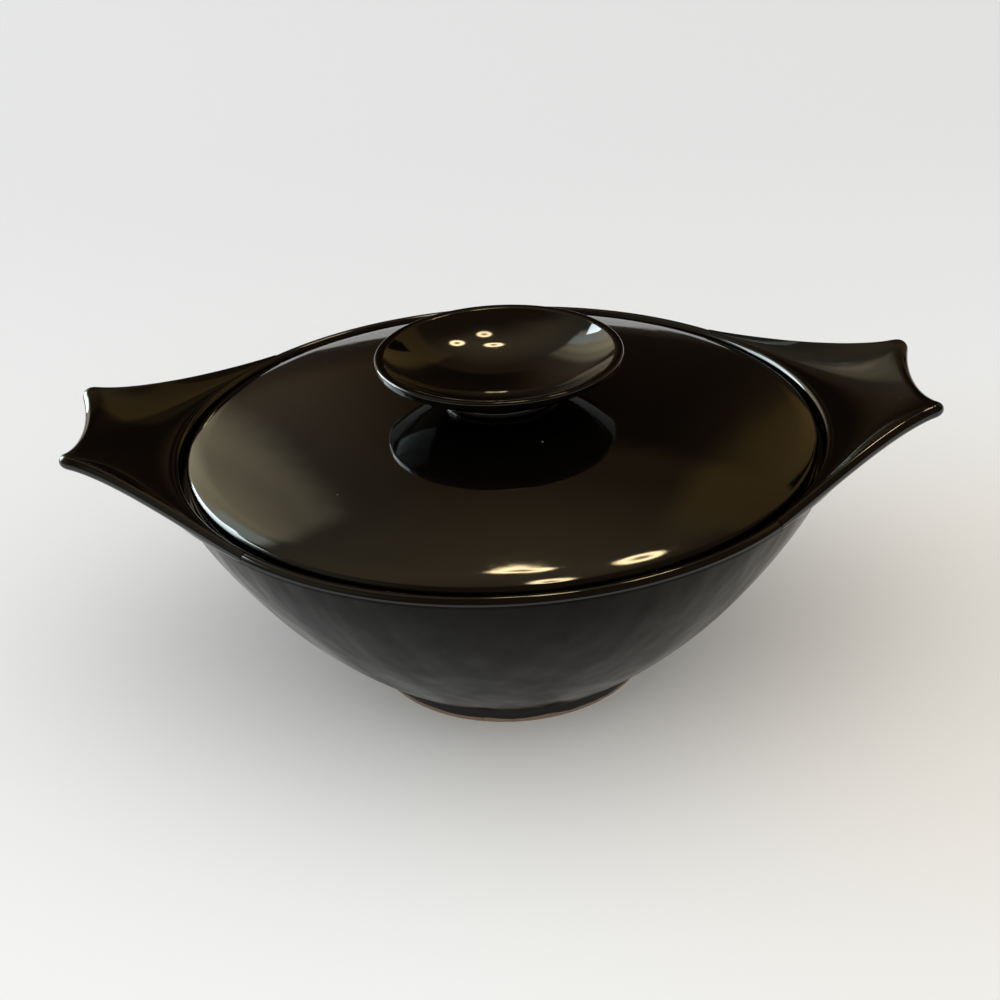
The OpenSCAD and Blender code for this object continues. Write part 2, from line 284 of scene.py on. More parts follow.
class BowlForm:
    """The turned shape of the bowl, worked out from its sizes."""

    def __init__(self, sizes):
        self.sizes = sizes
        self.rim_round = sizes.rim_wall / 2
        self.rim_centre = (RIM_R - self.rim_round, RIM_Z - self.rim_round)
        self.rim_in_r = RIM_R - sizes.rim_wall
        self.ledge_in_r = self.rim_in_r - sizes.ledge_w
        self.wall_top = (RIM_R, RIM_Z - self.rim_round)
        self.wall_foot = (FOOT_FLARE_R + sizes.foot_step, BOWL_LOW_Z)
        chord = math.dist(self.wall_top, self.wall_foot)
        self.wall_r = ((chord / 2) ** 2 + sizes.belly ** 2) / (2 * sizes.belly)
        out = ((self.wall_top[1] - self.wall_foot[1]) / chord, (self.wall_foot[0] - self.wall_top[0]) / chord)
        self.wall_centre = tuple((a + b) / 2 - n * (self.wall_r - sizes.belly)
                                 for a, b, n in zip(self.wall_top, self.wall_foot, out))

    def outside(self, pieces):
        """The outer wall, from the foot up to the rim's side."""
        return arc(self.wall_centre, self.wall_r, angle_of(self.wall_centre, self.wall_foot),
                   angle_of(self.wall_centre, self.wall_top), pieces)

    def wall_at(self, depth):
        """The point (r, z) on the outer wall at a depth below the rim's side."""
        z = self.wall_top[1] - depth
        return (self.wall_centre[0] + math.sqrt(self.wall_r ** 2 - (z - self.wall_centre[1]) ** 2), z)

    def inside(self, pieces):
        """The inner wall, from the ledge down and round into the floor."""
        sizes = self.sizes
        inner_r = self.wall_r - sizes.wall
        top_z = self.wall_centre[1] - math.sqrt(inner_r ** 2 - (self.ledge_in_r - self.wall_centre[0]) ** 2)
        floor_z = BOWL_LOW_Z + sizes.floor
        round_z = floor_z + sizes.floor_round
        round_x = self.wall_centre[0] + math.sqrt((inner_r - sizes.floor_round) ** 2
                                                  - (round_z - self.wall_centre[1]) ** 2)
        centre = (round_x, round_z)
        top = angle_of(self.wall_centre, (self.ledge_in_r, top_z))
        turn = angle_of(self.wall_centre, centre)
        return (arc(self.wall_centre, inner_r, top, turn, pieces)
                + arc(centre, sizes.floor_round, turn, -90, pieces // 2)[1:]
                + straight((round_x, floor_z), (0, floor_z), pieces=8))

    def profile(self):
        """The whole outline, from the axis under the floor to the axis above it."""
        small = self.sizes.edge_round
        floor_z = BOWL_LOW_Z + self.sizes.floor
        ledge_out_r = self.rim_in_r - small
        ledge_in_r = self.ledge_in_r + small
        return ([(0, BOWL_LOW_Z)]
                + straight((0, BOWL_LOW_Z), self.wall_foot, pieces=8)
                + self.outside(pieces=60)
                + arc(self.rim_centre, self.rim_round, 0, 180, pieces=20)[1:]
                + arc((ledge_out_r, SEAT_Z + small), small, 0, -90, pieces=6)
                + straight((ledge_out_r, SEAT_Z), (ledge_in_r, SEAT_Z), pieces=4)
                + arc((ledge_in_r, SEAT_Z - small), small, 90, 180, pieces=6)
                + self.inside(pieces=48)
                + [(0, floor_z)])


def foot_profile(sizes):
    """The foot ring's outline: rounded at the table and flared out on both sides under the bowl."""
    small = sizes.edge_round
    flare = sizes.foot_flare
    out_r = FOOT_FLARE_R - flare
    in_r = out_r - sizes.foot_wall
    flare_z = BOWL_LOW_Z - flare
    return (arc((in_r + small, small), small, 180, 270, pieces=6)
            + arc((out_r - small, small), small, -90, 0, pieces=6)
            + arc((out_r + flare, flare_z), flare, 180, 90, pieces=10)
            + straight((out_r + flare, BOWL_LOW_Z), (in_r - flare, BOWL_LOW_Z), pieces=4)
            + arc((in_r - flare, flare_z), flare, 90, 0, pieces=10))


class HandleForm:
    """The fishtail handle on the right: a surface from the crest of the rim out to its own edge.

    A place on it is a share s of the way out from the rim and a share u of the way across, from the
    middle of the handle at 0 to its sides at 1 and -1.
    """

    # How the top rises on its way out: along the sides, along the middle, and how the root deepens
    SIDE_POWER = 1.25
    MIDDLE_POWER = 1.8
    ROOT_POWER = 0.7
    # The underside falls to the root in a long soft sweep and a short steep one at the wall
    SWEEP_SHARE = 0.55
    SWEEP_POWER = 2.5
    STEEP_SHARE = 0.45
    STEEP_POWER = 9
    # Width at which the edge has its full half turn, and where the first section stands on the rim
    TURN_BLEND = 8 * MM
    FIRST_SHARE = 0.05
    # How deep the hidden side lies in the bowl's wall, how far it goes round the rim, and how much lower
    # than the rim's own round it stays
    HIDDEN_DEPTH = 0.4 * MM
    HIDDEN_TURN = math.radians(100)
    HIDDEN_DROP = 0.01 * MM
    # Step for a direction, and the numbers of sections and of points along each part of a section
    NUDGE = 0.001
    SECTIONS_ALONG = 44
    SECTIONS_ROUND_TIP = 10
    SECTIONS_ACROSS = 16
    POINTS = 16

    def __init__(self, sizes, bowl):
        self.sizes = sizes
        self.bowl = bowl
        self.crest_r = bowl.rim_centre[0]
        self.half_t = sizes.thickness / 2
        self.root = sizes.root_angle
        self.tip = Vector((RIM_R + sizes.reach - self.half_t, sizes.width / 2 - self.half_t))
        self.start = self.crest_r * Vector((math.cos(self.root), math.sin(self.root)))
        self.span = (self.tip - self.start).length
        along_rim = Vector((math.sin(self.root), -math.cos(self.root)))
        along_tip = Vector((math.cos(sizes.tip_flare), math.sin(sizes.tip_flare)))
        self.leave = self.start + sizes.leave_share * self.span * along_rim
        self.arrive = self.tip - sizes.arrive_share * self.span * along_tip

    def side(self, s):
        """The crest of the side, seen from above: a curve with two handles, from the rim to the tip."""
        t = 1 - s
        return (t ** 3 * self.start + 3 * t * t * s * self.leave
                + 3 * t * s * s * self.arrive + s ** 3 * self.tip)

    def top(self, s, u):
        """The top at share s of the way out and share u of the way across. At s = 0 it is the rim."""
        bend = (1 - math.cos(self.root * u)) / (1 - math.cos(self.root))
        side = self.side(s)
        out = max(0, (side.x - self.start.x) / (self.tip.x - self.start.x))
        side_rise = self.sizes.tip_rise * out ** self.SIDE_POWER
        middle_x = self.crest_r + (self.tip.x - self.sizes.end_hollow - self.crest_r) * s
        middle_rise = (self.sizes.tip_rise - self.sizes.end_dip) * s ** self.MIDDLE_POWER
        return Vector((middle_x + (side.x - middle_x) * bend,
                       side.y * math.sin(self.root * u) / math.sin(self.root),
                       RIM_Z + middle_rise + (side_rise - middle_rise) * bend))

    def side_out(self, s):
        """Direction square out of the side, seen from above."""
        step = self.side(s) - self.side(s - self.NUDGE)
        return math.atan2(step.x, -step.y)

    def end_out(self, u):
        """Direction square out of the end, seen from above."""
        step = self.top(1, u + self.NUDGE) - self.top(1, u - self.NUDGE)
        return math.atan2(-step.x, step.y)

    def stations(self, along, turn, across):
        """Places round the edge, each (s, u, direction out), from the rim by one tip to the other side."""
        speed_at_tip = 3 * self.sizes.arrive_share * self.span
        tip_s = self.sizes.tip_round / speed_at_tip
        tip_u = self.sizes.tip_round * math.tan(self.root) / (self.tip.y * self.root)
        side_end, end_start = 1 - tip_s, 1 - tip_u
        side_dir, end_dir = self.side_out(side_end), self.end_out(end_start)
        half = []
        for i in range(along + 1):
            s = self.FIRST_SHARE + (side_end - self.FIRST_SHARE) * i / along
            half.append((s, 1, self.side_out(s)))
        for i in range(1, turn + 1):
            quarter = math.pi / 2 * i / turn
            half.append((1 - tip_s * (1 - math.sin(quarter)), 1 - tip_u * (1 - math.cos(quarter)),
                         side_dir + (end_dir - side_dir) * i / turn))
        for i in range(1, across + 1):
            u = end_start * (1 - i / across)
            half.append((1, u, self.end_out(u)))
        return half + [(s, -u, -out) for s, u, out in reversed(half[:-1])]

    def edge(self, crest, direction, width, share_out):
        """Round the edge, from just past the crest down to its underside."""
        out = Vector((math.cos(direction), math.sin(direction), 0))
        radius = self.bowl.rim_round + (self.half_t - self.bowl.rim_round) * share_out
        turn = math.radians(90 + 90 * min(1, width / self.TURN_BLEND))
        points = []
        for i in range(1, self.POINTS + 1):
            tilt = math.pi / 2 - turn * i / self.POINTS
            points.append(crest + radius * (math.cos(tilt) * out + Vector((0, 0, math.sin(tilt) - 1))))
        return points

    def under(self, top, edge_drop, root_drop):
        """Back underneath, from below the edge to the root, where it falls away down the wall."""
        points = []
        for i in range(1, self.POINTS + 1):
            back = i / self.POINTS
            near = (self.SWEEP_SHARE * back ** self.SWEEP_POWER
                    + self.STEEP_SHARE * back ** self.STEEP_POWER)
            points.append(top[self.POINTS - i] + edge_drop * (1 - near) + root_drop * near)
        return points

    def hidden(self, way, depth):
        """Up inside the bowl's wall from the root's lower edge, and round inside the rim."""
        half = self.POINTS // 2
        points = []
        for i in range(half + 1):
            r, z = self.bowl.wall_at(depth * (1 - i / half))
            points.append((r - self.HIDDEN_DEPTH) * way + Vector((0, 0, z)))
        for i in range(1, half + 1):
            tilt = self.HIDDEN_TURN * i / half
            r, z = self.bowl.rim_centre
            reach = self.bowl.rim_round - self.HIDDEN_DEPTH * (1 - i / self.POINTS)
            height = z + reach * math.sin(tilt) - self.HIDDEN_DROP
            points.append((r + reach * math.cos(tilt)) * way + Vector((0, 0, height)))
        return points

    def section(self, station):
        """One closed loop: over the top, round the edge, back underneath and up inside the bowl's wall."""
        s, u, direction = station
        crest = self.top(s, u)
        bearing = math.atan2(crest.y, crest.x)
        way = Vector((math.cos(bearing), math.sin(bearing), 0))
        width = max(0, crest.xy.length - self.crest_r)
        share_out = min(1, width / self.sizes.root_blend)
        depth = self.sizes.root_depth * share_out ** self.ROOT_POWER
        low_r, low_z = self.bowl.wall_at(depth)
        root_low = low_r * way + Vector((0, 0, low_z))
        root_top = self.crest_r * way + Vector((0, 0, RIM_Z))
        v = bearing / self.root
        top = [self.top(s * i / self.POINTS, v + (u - v) * i / self.POINTS) for i in range(self.POINTS + 1)]
        edge = self.edge(crest, direction, width, share_out)
        under = self.under(top, edge[-1] - crest, root_low - root_top)
        return top + edge + under + self.hidden(way, depth)

    def skin(self):
        """Points and faces of the whole handle."""
        stations = self.stations(self.SECTIONS_ALONG, self.SECTIONS_ROUND_TIP, self.SECTIONS_ACROSS)
        sections = [self.section(station) for station in stations]
        count = len(sections[0])
        points = [p for section in sections for p in section]
        faces = []
        for k in range(len(sections) - 1):
            for i in range(count):
                j = (i + 1) % count
                faces.append((k * count + i, k * count + j, (k + 1) * count + j, (k + 1) * count + i))
        last = (len(sections) - 1) * count
        faces.append(tuple(reversed(range(count))))
        faces.append(tuple(last + i for i in range(count)))
        return points, faces


class LidForm:
    """The turned shapes of the lid: the dome, the ring under it, the neck and the knob."""

    def __init__(self, sizes):
        self.sizes = sizes
        self.ring_in_r = FLANGE_R - sizes.flange_wall
        self.under_z = KNOB_Z - sizes.knob_body
        self.lip_r = KNOB_R - sizes.knob_inset - sizes.lip_outside

    def dome(self):
        """The dome, from its hollow side out to the edge, over the shoulder and up to the neck."""
        sizes = self.sizes
        small = sizes.edge_round
        slope = sizes.dome_slope
        edge_slope = slope + sizes.roll_turn
        shoulder = (LID_R - sizes.shoulder, SEAT_Z + sizes.edge_h)
        roll_end = (shoulder[0] + sizes.shoulder * math.sin(edge_slope),
                    shoulder[1] + sizes.shoulder * math.cos(edge_slope))
        roll_start_r = LID_R - sizes.roll_w
        roll_start_z = roll_end[1] + (roll_end[0] - roll_start_r) * math.tan(slope + sizes.roll_turn / 2)
        roll_r = math.dist(roll_end, (roll_start_r, roll_start_z)) / (2 * math.sin(sizes.roll_turn / 2))
        roll_centre = (roll_start_r - roll_r * math.sin(slope), roll_start_z - roll_r * math.cos(slope))
        dome_r = roll_start_r / math.sin(slope)
        centre = (0, roll_start_z - dome_r * math.cos(slope))
        under_r = dome_r - sizes.wall
        at_ring = math.degrees(math.acos(self.ring_in_r / under_r))
        at_edge = 90 - math.degrees(edge_slope)
        at_roll = 90 - math.degrees(slope)
        at_neck = math.degrees(math.acos(NECK_R / dome_r))
        return ([(0, centre[1] + under_r)]
                + arc(centre, under_r, 90, at_ring, pieces=40)[1:]
                + straight((self.ring_in_r, SEAT_Z), (LID_R - small, SEAT_Z), pieces=4)
                + arc((LID_R - small, SEAT_Z + small), small, -90, 0, pieces=6)
                + arc(shoulder, sizes.shoulder, 0, at_edge, pieces=14)
                + arc(roll_centre, roll_r, at_edge, at_roll, pieces=12)[1:]
                + arc(centre, dome_r, at_roll, at_neck, pieces=48)[1:]
                + straight((NECK_R, PAD_Z), (0, PAD_Z), pieces=4)
                + [(0, PAD_Z)])

    def ring(self):
        """The ring under the dome, a closed outline with two rounded lower edges."""
        small = self.sizes.edge_round
        low_z = FLANGE_LOW_Z + small
        return ([(FLANGE_R, SEAT_Z)]
                + straight((FLANGE_R, SEAT_Z), (self.ring_in_r, SEAT_Z), pieces=3)
                + [(self.ring_in_r, SEAT_Z)]
                + arc((self.ring_in_r + small, low_z), small, 180, 270, pieces=5)
                + arc((FLANGE_R - small, low_z), small, -90, 0, pieces=5))

    def neck(self):
        """The neck, with a hollow waist."""
        half_h = (NECK_TOP_Z - PAD_Z) / 2
        waist = self.sizes.neck_waist
        waist_r = (half_h ** 2 + waist ** 2) / (2 * waist)
        half_turn = math.degrees(math.asin(half_h / waist_r))
        waist_centre = (NECK_R - waist + waist_r, (PAD_Z + NECK_TOP_Z) / 2)
        return ([(0, PAD_Z)]
                + straight((0, PAD_Z), (NECK_R, PAD_Z), pieces=4)
                + arc(waist_centre, waist_r, 180 + half_turn, 180 - half_turn, pieces=16)
                + straight((NECK_R, NECK_TOP_Z), (0, NECK_TOP_Z), pieces=4)
                + [(0, NECK_TOP_Z)])

    def knob(self):
        """The knob: its round underside, the lip's leaning side, then the lip and the hollow."""
        return self.knob_outside() + self.knob_inside()

    def knob_outside(self):
        """From the axis at the top of the neck, out under the knob and up the lip's side to its crest."""
        sizes = self.sizes
        lean = sizes.lip_lean
        low_z = KNOB_Z - sizes.lip_side_h
        side_top = (self.lip_r + sizes.lip_outside * math.cos(lean),
                    KNOB_Z - sizes.lip_outside * (1 + math.sin(lean)))
        side_low = (side_top[0] - (side_top[1] - low_z) * math.tan(lean), low_z)
        rise = low_z - self.under_z
        under_r = (side_low[0] ** 2 + rise ** 2) / (2 * rise)
        under_centre = (0, self.under_z + under_r)
        at_neck = angle_of(under_centre, (NECK_R, NECK_TOP_Z))
        lip_centre = (self.lip_r, KNOB_Z - sizes.lip_outside)
        return ([(0, NECK_TOP_Z)]
                + straight((0, NECK_TOP_Z), (NECK_R, NECK_TOP_Z), pieces=4)
                + arc(under_centre, under_r, at_neck, angle_of(under_centre, side_low), pieces=30)
                + straight(side_low, side_top, pieces=4)
                + arc(lip_centre, sizes.lip_outside, -math.degrees(lean), 90, pieces=8))

    def knob_inside(self):
        """From the crest in over the lip, down the hollow's side and across its floor to the axis.

        Each arc sets out where the last one ends, so the floor's end can miss the axis by a hair. The
        side and the floor are stretched by that drift, so that they meet the axis.
        """
        sizes = self.sizes
        top_fall = math.degrees(sizes.lip_fall)
        floor_slope = math.degrees(math.asin(sizes.hollow_floor_r / sizes.hollow_ball))
        side_slope = floor_slope + math.degrees(sizes.side_turn)
        lip_centre = (self.lip_r, KNOB_Z - sizes.lip_top)
        top = arc(lip_centre, sizes.lip_top, 90, 90 + top_fall, pieces=6)
        turn = follow(top[-1], sizes.lip_inside, 90 + top_fall, 90 + side_slope, pieces=8)
        side = follow(turn[-1], sizes.hollow_side, side_slope - 90, floor_slope - 90, pieces=14)
        floor = follow(side[-1], sizes.hollow_ball, floor_slope - 90, -90, pieces=40)
        start_r = turn[-1][0]
        drift = floor[-1][0]
        hollow = [(r - drift * (start_r - r) / (start_r - drift), z) for r, z in side[1:] + floor[1:-1]]
        return top[1:] + turn[1:] + hollow + [(0, floor[-1][1])]


# Sockets of the Mix node, which has a pair of its own for each kind of value
FACTOR = 0
NUMBER_A, NUMBER_B = 2, 3
VECTOR_A, VECTOR_B = 4, 5
COLOUR_A, COLOUR_B = 6, 7
MIXED_VECTOR, MIXED_COLOUR = 1, 2

# Sockets of the Map Range node when it works on vectors
RANGED, RANGE_FROM_MIN, RANGE_FROM_MAX, RANGE_TO_MIN, RANGE_TO_MAX = 6, 7, 8, 9, 10
RANGED_VECTOR = 1

# How far apart the marks in the glaze are, and how deep its relief is
THIN_PATCH = 45 * MM
MOTTLE = 3 * MM
RIPPLE = 22 * MM
RIPPLE_DEPTH = 0.10 * MM
ORANGE_PEEL = 1.6 * MM
ORANGE_PEEL_DEPTH = 0.0015 * MM
STREAK = 17 * MM
STREAK_DEPTH = 1.3 * MM

# The specks: one at most in each cell, and none in most cells. Each fades out at some times its radius.
SPECK_CELL = 16 * MM
SPECK_R = 0.28 * MM
SPECK_FADE = 1.6
SPECK_HEIGHT = 0.03 * MM
CELLS_WITHOUT_SPECK = 0.72

# The bare clay's grain and grit
GRAIN = 0.9 * MM
GRIT_DEPTH = 0.05 * MM

# How far the glaze's lower edge wanders and how far apart its waves are. The noise adds half of that on
# average, so the glaze fades in over the two heights above its line.
WANDER = 2 * MM
WANDER_APART = 14 * MM
FADE_LOW = 0.9 * MM
FADE_HIGH = 1.2 * MM

BLACK_GLAZE = "black stoneware glaze, fired"


def add_node(tree, kind, values=None, links=None, **settings):
    """Adds a node with its settings, the values of its inputs and the outputs linked to its inputs."""
    node = tree.nodes.new(kind)
    for key, setting in settings.items():
        setattr(node, key, setting)
    for key, value in (values or {}).items():
        node.inputs[key].default_value = value
    for key, output in (links or {}).items():
        tree.links.new(output, node.inputs[key])
    return node


def new_material(name):
    """A new node material, its tree, and the place on the object, in metres, that its patterns start from."""
    material = bpy.data.materials.new(name)
    material.use_nodes = True
    tree = material.node_tree
    tree.nodes.clear()
    return material, tree, add_node(tree, "ShaderNodeTexCoord").outputs["Object"]


def finish_material(tree, shader):
    """Links the shader to the surface."""
    add_node(tree, "ShaderNodeOutputMaterial", links={"Surface": shader.outputs[0]})


def per_size(size):
    """The scale of a pattern whose features are this far apart."""
    return 1 / size


def glaze_colour(tree, place, mottle, speck, colours):
    """Black, warm brown in the few places where the glaze runs thin, and pale at the specks."""
    thin_level = -0.35
    thin_contrast = 3
    thin = add_node(tree, "ShaderNodeTexNoise",
                    {"Scale": per_size(THIN_PATCH), "Detail": 3, "Roughness": 0.6}, {"Vector": place})
    amount = add_node(tree, "ShaderNodeMath", {2: thin_level}, {0: thin.outputs[0], 1: mottle},
                      operation="MULTIPLY_ADD", use_clamp=True)
    spread = add_node(tree, "ShaderNodeMath", {1: thin_contrast}, {0: amount.outputs[0]},
                      operation="MULTIPLY", use_clamp=True)
    base = add_node(tree, "ShaderNodeMix",
                    {COLOUR_A: linear(colours.glaze_dark), COLOUR_B: linear(colours.glaze_warm)},
                    {FACTOR: spread.outputs[0]}, data_type="RGBA")
    colour = add_node(tree, "ShaderNodeMix", {COLOUR_B: linear(colours.speck)},
                      {FACTOR: speck, COLOUR_A: base.outputs[MIXED_COLOUR]}, data_type="RGBA")
    return colour.outputs[MIXED_COLOUR]


def glaze_specks(tree, place):
    """The few specks: 1 in the middle of each, 0 between them."""
    cells = add_node(tree, "ShaderNodeTexVoronoi", {"Scale": per_size(SPECK_CELL)}, {"Vector": place})
    chosen = add_node(tree, "ShaderNodeSeparateColor", links={"Color": cells.outputs["Color"]})
    rare = add_node(tree, "ShaderNodeMath", {1: CELLS_WITHOUT_SPECK}, {0: chosen.outputs[0]},
                    operation="GREATER_THAN")
    size = SPECK_R / SPECK_CELL
    near = add_node(tree, "ShaderNodeMapRange",
                    {"From Min": size, "From Max": size * SPECK_FADE, "To Min": 1, "To Max": 0},
                    {"Value": cells.outputs["Distance"]})
    speck = add_node(tree, "ShaderNodeMath", links={0: rare.outputs[0], 1: near.outputs[0]},
                     operation="MULTIPLY")
    return speck.outputs[0]


def glaze_relief(tree, place, speck):
    """Broad ripples that bend the mirror, a faint orange peel over them, and the specks standing proud."""
    ripple = add_node(tree, "ShaderNodeTexNoise",
                      {"Scale": per_size(RIPPLE), "Detail": 2, "Roughness": 0.4}, {"Vector": place})
    peel = add_node(tree, "ShaderNodeTexNoise", {"Scale": per_size(ORANGE_PEEL), "Detail": 2},
                    {"Vector": place})
    rippled = add_node(tree, "ShaderNodeBump", {"Strength": 1, "Distance": RIPPLE_DEPTH},
                       {"Height": ripple.outputs[0]})
    peeled = add_node(tree, "ShaderNodeBump", {"Strength": 1, "Distance": ORANGE_PEEL_DEPTH},
                      {"Height": peel.outputs[0], "Normal": rippled.outputs[0]})
    specked = add_node(tree, "ShaderNodeBump", {"Strength": 1, "Distance": SPECK_HEIGHT},
                       {"Height": speck, "Normal": peeled.outputs[0]})
    return specked.outputs[0]


def glaze_surface(tree, place, colours):
    """The colour, relief and roughness of the black glaze, as three outputs.

    It is a glassy black stoneware glaze. It shows warm brown where it runs thin, gentle waves in its
    mirror, and a few pale specks.
    """
    mottle = add_node(tree, "ShaderNodeTexNoise",
                      {"Scale": per_size(MOTTLE), "Detail": 4, "Roughness": 0.65}, {"Vector": place})
    speck = glaze_specks(tree, place)
    colour = glaze_colour(tree, place, mottle.outputs[0], speck, colours)
    roughness = add_node(tree, "ShaderNodeMapRange",
                         {"From Min": 0.3, "From Max": 0.7, "To Min": 0.03, "To Max": 0.065},
                         {"Value": mottle.outputs[0]})
    return colour, glaze_relief(tree, place, speck), roughness.outputs[0]


def black_glaze(colours):
    """Glossy black stoneware glaze, poured and fired: a dark mirror with a warm cast."""
    material, tree, place = new_material(BLACK_GLAZE)
    colour, relief, roughness = glaze_surface(tree, place, colours)
    shader = add_node(tree, "ShaderNodeBsdfPrincipled", {"IOR": 1.5},
                      {"Base Color": colour, "Roughness": roughness, "Normal": relief})
    finish_material(tree, shader)
    return material


def painted_side_sheen_tint(tree, place, colours):
    """The tint of the wall's shine, a painted reflection: painted cool on the left and warm on the right."""
    cool_side_x = -60 * MM
    warm_side_x = 50 * MM
    side = add_node(tree, "ShaderNodeSeparateXYZ", links={"Vector": place})
    # How far round to the right a place lies: the sheen is painted warmer there, as a painted reflection.
    thin = add_node(tree, "ShaderNodeMapRange",
                    {"From Min": cool_side_x, "From Max": warm_side_x, "To Min": 0, "To Max": 1},
                    {"Value": side.outputs["X"]}, interpolation_type="SMOOTHSTEP")
    tint = add_node(tree, "ShaderNodeMix",
                    {COLOUR_A: linear(colours.sheen_left_painted_cool), COLOUR_B: linear(colours.sheen_right_painted_warm)},
                    {FACTOR: thin.outputs[0]}, data_type="RGBA")
    return tint.outputs[MIXED_COLOUR]


def wall_glaze(colours):
    """The same glaze on the outer wall, thinner and fired to a satin: it mirrors the table only dimly, and
    broad soft streaks run down it where the wet glaze was brushed on. Its shine has a painted reflection
    tint, cooler on the left and warmer on the right."""
    material, tree, place = new_material("black stoneware glaze, satin, brushed")
    colour, relief = glaze_surface(tree, place, colours)[:2]
    drawn_down = (1, 1, 0.12)
    stretched = add_node(tree, "ShaderNodeVectorMath", {1: drawn_down}, {0: place}, operation="MULTIPLY")
    streaks = add_node(tree, "ShaderNodeTexNoise",
                       {"Scale": per_size(STREAK), "Detail": 2, "Roughness": 0.4},
                       {"Vector": stretched.outputs[0]})
    satin = add_node(tree, "ShaderNodeMapRange",
                     {"From Min": 0.35, "From Max": 0.65, "To Min": 0.1, "To Max": 0.28},
                     {"Value": streaks.outputs[0]})
    brushed = add_node(tree, "ShaderNodeBump", {"Strength": 1, "Distance": STREAK_DEPTH},
                       {"Height": streaks.outputs[0], "Normal": relief})
    shader = add_node(tree, "ShaderNodeBsdfPrincipled", {"IOR": 1.35, "Specular IOR Level": 0.11},
                      {"Base Color": colour, "Roughness": satin.outputs[0], "Normal": brushed.outputs[0],
                       "Specular Tint": painted_side_sheen_tint(tree, place, colours)})
    finish_material(tree, shader)
    return material


def above_glaze_line(tree, place, glaze_line):
    """1 where the foot is glazed and 0 below the glaze's wandering lower edge."""
    height = add_node(tree, "ShaderNodeSeparateXYZ", links={"Vector": place})
    wander = add_node(tree, "ShaderNodeTexNoise", {"Scale": per_size(WANDER_APART), "Detail": 2},
                      {"Vector": place})
    line = add_node(tree, "ShaderNodeMath", {1: WANDER}, {0: wander.outputs[0], 2: height.outputs["Z"]},
                    operation="MULTIPLY_ADD")
    glazed = add_node(tree, "ShaderNodeMapRange",
                      {"From Min": glaze_line + FADE_LOW, "From Max": glaze_line + FADE_HIGH,
                       "To Min": 0, "To Max": 1}, {"Value": line.outputs[0]})
    return glazed.outputs[0]


def foot_clay(colours, glaze_line):
    """Bare fired stoneware, turned and wiped: matt and grainy below, with the glaze's lower edge above."""
    material, tree, place = new_material("bare stoneware with a glaze line, fired")
    colour, relief, roughness = glaze_surface(tree, place, colours)
    glazed = above_glaze_line(tree, place, glaze_line)
    grains = add_node(tree, "ShaderNodeTexNoise",
                      {"Scale": per_size(GRAIN), "Detail": 3, "Roughness": 0.7}, {"Vector": place})
    dark = add_node(tree, "ShaderNodeMapRange",
                    {"From Min": 0.55, "From Max": 0.7, "To Min": 0, "To Max": 0.8},
                    {"Value": grains.outputs[0]})
    clay = add_node(tree, "ShaderNodeMix",
                    {COLOUR_A: linear(colours.clay), COLOUR_B: linear(colours.clay_dark)},
                    {FACTOR: dark.outputs[0]}, data_type="RGBA")
    both = add_node(tree, "ShaderNodeMix",
                    links={FACTOR: glazed, COLOUR_A: clay.outputs[MIXED_COLOUR], COLOUR_B: colour},
                    data_type="RGBA")
    clay_roughness = 0.85
    matt = add_node(tree, "ShaderNodeMix", {NUMBER_A: clay_roughness}, {FACTOR: glazed, NUMBER_B: roughness})
    grit = add_node(tree, "ShaderNodeBump", {"Strength": 1, "Distance": GRIT_DEPTH},
                    {"Height": grains.outputs[0]})
    normal = add_node(tree, "ShaderNodeMix",
                      links={FACTOR: glazed, VECTOR_A: grit.outputs[0], VECTOR_B: relief},
                      data_type="VECTOR")
    shader = add_node(tree, "ShaderNodeBsdfPrincipled", {"IOR": 1.5},
                      {"Base Color": both.outputs[MIXED_COLOUR], "Roughness": matt.outputs[0],
                       "Normal": normal.outputs[MIXED_VECTOR]})
    finish_material(tree, shader)
    return material


def floor_paint(colours):
    """Matt painted studio floor, a pale ground with light and shade painted into its colour: painted lighter
    to the front and dimmer behind, with a warm painted shade beside the dish on the right.
    """
    # Painted light: between these two depths the floor is painted lighter towards the front and dimmer
    # towards the back.
    near_y = -250 * MM
    far_y = 600 * MM
    # A warm patch of painted shade beside the dish on the right: where it lies, how far its full colour
    # reaches, how far it fades out, and how strongly it is mixed in.
    painted_shade_middle = (170 * MM, -20 * MM, 0)
    painted_shade_core = 30 * MM
    painted_shade_reach = 260 * MM
    painted_shade_share = 0.42
    material, tree, place = new_material("pale studio floor, matt paint")
    side = add_node(tree, "ShaderNodeSeparateXYZ", links={"Vector": place})
    back = add_node(tree, "ShaderNodeMapRange",
                    {"From Min": near_y, "From Max": far_y, "To Min": 0, "To Max": 1},
                    {"Value": side.outputs["Y"]}, interpolation_type="SMOOTHSTEP")
    colour = add_node(tree, "ShaderNodeMix",
                      {COLOUR_A: linear(colours.floor_near_painted_lit), COLOUR_B: linear(colours.floor_far_painted_dim)},
                      {FACTOR: back.outputs[0]}, data_type="RGBA")
    off = add_node(tree, "ShaderNodeVectorMath", {1: painted_shade_middle}, {0: place}, operation="DISTANCE")
    near = add_node(tree, "ShaderNodeMapRange",
                    {"From Min": painted_shade_core, "From Max": painted_shade_reach, "To Min": painted_shade_share, "To Max": 0},
                    {"Value": off.outputs["Value"]}, interpolation_type="SMOOTHSTEP")
    with_painted_shade = add_node(tree, "ShaderNodeMix", {COLOUR_B: linear(colours.floor_painted_warm_shade)},
                      {FACTOR: near.outputs[0], COLOUR_A: colour.outputs[MIXED_COLOUR]}, data_type="RGBA")
    shader = add_node(tree, "ShaderNodeBsdfPrincipled", {"Roughness": 0.9},
                      {"Base Color": with_painted_shade.outputs[MIXED_COLOUR]})
    finish_material(tree, shader)
    return material


def glaze(scene):
    """The black glaze, made once and shared by every piece that wears it."""
    return bpy.data.materials.get(BLACK_GLAZE) or black_glaze(scene.casserole_finish)


